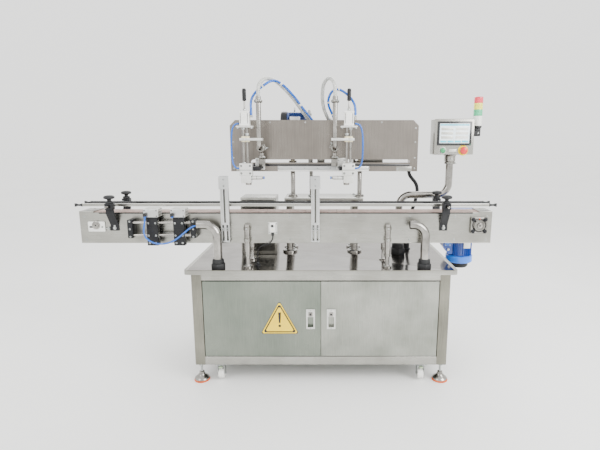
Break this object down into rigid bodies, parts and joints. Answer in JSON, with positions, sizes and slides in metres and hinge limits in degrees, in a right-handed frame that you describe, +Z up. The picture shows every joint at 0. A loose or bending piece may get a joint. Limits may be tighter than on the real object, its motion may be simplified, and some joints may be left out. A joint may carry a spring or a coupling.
{
  "type": "piston liquid filler",
  "caption": "Piston liquid filling machine: filling heads on a height-adjustable panel over a bottle conveyor, on a wheeled steel cabinet with doors and a control box.",
  "frame": {"origin": "on the floor, under the middle of the conveyor's length and the middle of the table's depth", "axes": "+X along the conveyor towards its drive end, +Y from the operator to the back, +Z up"},
  "size_m": [2.04, 0.7, 1.49],
  "materials": {
    "brushed_stainless": "brushed",
    "polished_stainless": "polished",
    "mirror_table": "polished sheet",
    "black_plastic": "matte",
    "black_anodised": "anodised",
    "aluminium_profile": "satin",
    "white_anodised": "bead-blasted",
    "blue_paint": "gloss paint",
    "foot_chrome": "polished",
    "caster_white": "moulded",
    "chain_plastic": "worn acetal",
    "rail_light": "smooth",
    "rail_black": "smooth",
    "clear_hose": "translucent",
    "cyan_hose": "glossy",
    "black_rubber": "matte",
    "box_stainless": "fine brushed",
    "green_plastic": "gloss",
    "red_plastic": "gloss",
    "tower_lenses": "translucent rings"
  },
  "bodies": {
    "machine": {"base_frame": "brushed_stainless", "cabinet_panels": "brushed_stainless", "table_top": "mirror_table", "feet_and_forks": "foot_chrome", "conveyor_frame": "brushed_stainless", "conveyor_belt": "chain_plastic", "shaft_bearings": "polished_stainless", "conveyor_gearmotor": "blue_paint", "conveyor_posts": "polished_stainless", "rail_brackets": "black_plastic", "gate_rods": "polished_stainless", "bent_pipes": "polished_stainless", "bottle_sensor": "aluminium_profile", "lift_columns": "polished_stainless", "valve_box": "box_stainless", "sensor_cable": "black_rubber", "head_conduit": "black_rubber", "gate_air_hose": "cyan_hose"},
    "door_left": {"door_left": "brushed_stainless"},
    "door_right": {"door_right": "brushed_stainless"},
    "casters_front": {"caster_wheels_front": "caster_white"},
    "casters_rear": {"caster_wheels_rear": "caster_white"},
    "drive_shaft": {"drive_shaft": "polished_stainless"},
    "idler_shaft": {"idler_shaft": "polished_stainless"},
    "front_guide_rail": {"front_guide_rail": "rail_light"},
    "rear_guide_rail": {"rear_guide_rail": "rail_black"},
    "gate_carriage_1": {"gate_carriage_1": "black_anodised"},
    "gate_stop_1": {"gate_stop_1": "polished_stainless"},
    "gate_carriage_2": {"gate_carriage_2": "black_anodised"},
    "gate_stop_2": {"gate_stop_2": "polished_stainless"},
    "sensor_post_left": {"sensor_post_left": "aluminium_profile"},
    "sensor_post_right": {"sensor_post_right": "aluminium_profile"},
    "lead_screw": {"lead_screw": "polished_stainless"},
    "upper_frame": {"front_panel": "brushed_stainless", "pump_unit": "polished_stainless", "pump_motor": "blue_paint", "product_hose_left": "clear_hose", "product_hose_right": "clear_hose", "supply_tube_left": "cyan_hose", "supply_tube_right": "cyan_hose"},
    "pump_ball_screw": {"pump_ball_screw": "polished_stainless"},
    "pump_pistons": {"pump_pistons": "polished_stainless"},
    "hmi_box": {"hmi_box": "box_stainless"},
    "start_button": {"start_button": "green_plastic"},
    "stop_button": {"stop_button": "red_plastic"},
    "tower_light": {"tower_light": "tower_lenses"},
    "head_left": {"head_body_left": "white_anodised", "product_tube_left": "polished_stainless", "air_hose_left": "cyan_hose"},
    "valve_stem_left": {"valve_stem_left": "polished_stainless"},
    "adjuster_left": {"adjuster_left": "black_plastic"},
    "head_right": {"head_body_right": "white_anodised", "product_tube_right": "polished_stainless", "air_hose_right": "cyan_hose"},
    "valve_stem_right": {"valve_stem_right": "polished_stainless"},
    "adjuster_right": {"adjuster_right": "black_plastic"},
    "rail_knob_front_left": {"rail_knob_front_left": "black_plastic"},
    "rail_knob_front_right": {"rail_knob_front_right": "black_plastic"},
    "rail_knob_rear_left": {"rail_knob_rear_left": "black_plastic"},
    "rail_knob_rear_right": {"rail_knob_rear_right": "black_plastic"}
  },
  "joints": [
    {"name": "door_left_hinge", "type": "hinge", "parent": "machine", "child": "door_left", "pos_m": [-0.388, -0.329, 0.336], "axis": [0, 0, 1], "range_deg": [-110, 0]},
    {"name": "door_right_hinge", "type": "hinge", "parent": "machine", "child": "door_right", "pos_m": [0.728, -0.329, 0.336], "axis": [0, 0, 1], "range_deg": [0, 110]},
    {"name": "casters_front_spin", "type": "hinge", "parent": "machine", "child": "casters_front", "pos_m": [-0.329, -0.3, 0.037], "axis": [1, 0, 0], "continuous": true},
    {"name": "casters_rear_spin", "type": "hinge", "parent": "machine", "child": "casters_rear", "pos_m": [-0.329, 0.3, 0.037], "axis": [1, 0, 0], "continuous": true},
    {"name": "drive_shaft_spin", "type": "hinge", "parent": "machine", "child": "drive_shaft", "pos_m": [0.935, -0.19, 0.785], "axis": [0, 1, 0], "continuous": true},
    {"name": "idler_shaft_spin", "type": "hinge", "parent": "machine", "child": "idler_shaft", "pos_m": [-0.918, -0.19, 0.785], "axis": [0, 1, 0], "continuous": true},
    {"name": "front_rail_slide", "type": "slide", "parent": "machine", "child": "front_guide_rail", "axis": [0, 1, 0], "range_m": [-0.012, 0.03]},
    {"name": "rear_rail_slide", "type": "slide", "parent": "machine", "child": "rear_guide_rail", "axis": [0, 1, 0], "range_m": [-0.03, 0.025]},
    {"name": "rail_knob_front_left_turn", "type": "hinge", "parent": "machine", "child": "rail_knob_front_left", "pos_m": [-0.83, -0.285, 0.9], "axis": [0, 0, 1], "range_deg": [-360, 360]},
    {"name": "rail_knob_front_right_turn", "type": "hinge", "parent": "machine", "child": "rail_knob_front_right", "pos_m": [0.765, -0.285, 0.9], "axis": [0, 0, 1], "range_deg": [-360, 360]},
    {"name": "rail_knob_rear_left_turn", "type": "hinge", "parent": "machine", "child": "rail_knob_rear_left", "pos_m": [-0.83, -0.095, 0.9], "axis": [0, 0, 1], "range_deg": [-360, 360]},
    {"name": "rail_knob_rear_right_turn", "type": "hinge", "parent": "machine", "child": "rail_knob_rear_right", "pos_m": [0.765, -0.095, 0.9], "axis": [0, 0, 1], "range_deg": [-360, 360]},
    {"name": "gate_carriage_1_slide", "type": "slide", "parent": "machine", "child": "gate_carriage_1", "axis": [1, 0, 0], "range_m": [-0.05, 0.02], "deforming": ["gate_air_hose"]},
    {"name": "gate_carriage_2_slide", "type": "slide", "parent": "machine", "child": "gate_carriage_2", "axis": [1, 0, 0], "range_m": [-0.02, 0.02]},
    {"name": "gate_stop_1_slide", "type": "slide", "parent": "gate_carriage_1", "child": "gate_stop_1", "axis": [0, 1, 0], "range_m": [0, 0.04]},
    {"name": "gate_stop_2_slide", "type": "slide", "parent": "gate_carriage_2", "child": "gate_stop_2", "axis": [0, 1, 0], "range_m": [0, 0.04]},
    {"name": "sensor_post_left_slide", "type": "slide", "parent": "machine", "child": "sensor_post_left", "axis": [0, 0, 1], "range_m": [-0.015, 0.015]},
    {"name": "sensor_post_right_slide", "type": "slide", "parent": "machine", "child": "sensor_post_right", "axis": [0, 0, 1], "range_m": [-0.015, 0.015]},
    {"name": "lift", "type": "slide", "parent": "machine", "child": "upper_frame", "axis": [0, 0, 1], "range_m": [-0.03, 0.06], "deforming": ["head_conduit"]},
    {"name": "lead_screw_turn", "type": "hinge", "parent": "machine", "child": "lead_screw", "pos_m": [0.117, 0.055, 0.9], "axis": [0, 0, 1], "range_deg": [-1200, 2200]},
    {"name": "head_left_slide", "type": "slide", "parent": "upper_frame", "child": "head_left", "axis": [1, 0, 0], "range_m": [-0.015, 0.06], "deforming": ["product_hose_left", "supply_tube_left"]},
    {"name": "valve_stem_left_lift", "type": "slide", "parent": "head_left", "child": "valve_stem_left", "axis": [0, 0, 1], "range_m": [0, 0.015]},
    {"name": "adjuster_left_turn", "type": "hinge", "parent": "head_left", "child": "adjuster_left", "pos_m": [-0.193, -0.19, 1.33], "axis": [0, 0, 1], "range_deg": [-360, 360]},
    {"name": "head_right_slide", "type": "slide", "parent": "upper_frame", "child": "head_right", "axis": [1, 0, 0], "range_m": [-0.06, 0.06], "deforming": ["product_hose_right", "supply_tube_right"]},
    {"name": "valve_stem_right_lift", "type": "slide", "parent": "head_right", "child": "valve_stem_right", "axis": [0, 0, 1], "range_m": [0, 0.015]},
    {"name": "adjuster_right_turn", "type": "hinge", "parent": "head_right", "child": "adjuster_right", "pos_m": [0.304, -0.19, 1.33], "axis": [0, 0, 1], "range_deg": [-360, 360]},
    {"name": "piston_stroke", "type": "slide", "parent": "upper_frame", "child": "pump_pistons", "axis": [1, 0, 0], "range_m": [0, 0.1]},
    {"name": "ball_screw_turn", "type": "hinge", "parent": "upper_frame", "child": "pump_ball_screw", "pos_m": [0.2, 0.142, 1.285], "axis": [1, 0, 0], "range_deg": [-10, 1900]},
    {"name": "hmi_swivel", "type": "hinge", "parent": "machine", "child": "hmi_box", "pos_m": [0.85, 0.005, 1.1], "axis": [0, 0, 1], "range_deg": [-60, 60]},
    {"name": "start_button_press", "type": "slide", "parent": "hmi_box", "child": "start_button", "axis": [0, 1, 0], "range_m": [0, 0.004], "stiffness_N_per_m": 500},
    {"name": "stop_button_press", "type": "slide", "parent": "hmi_box", "child": "stop_button", "axis": [0, 1, 0], "range_m": [0, 0.005]},
    {"name": "tower_light_fold", "type": "hinge", "parent": "hmi_box", "child": "tower_light", "pos_m": [0.982, 0, 1.225], "axis": [0, 1, 0], "range_deg": [0, 90]}
  ],
  "couplings": [
    {"joint": "idler_shaft_spin", "follows": "drive_shaft_spin", "ratio": 1},
    {"joint": "lead_screw_turn", "follows": "lift", "rad_per_m": 628.32},
    {"joint": "ball_screw_turn", "follows": "piston_stroke", "rad_per_m": 314.16}
  ]
}
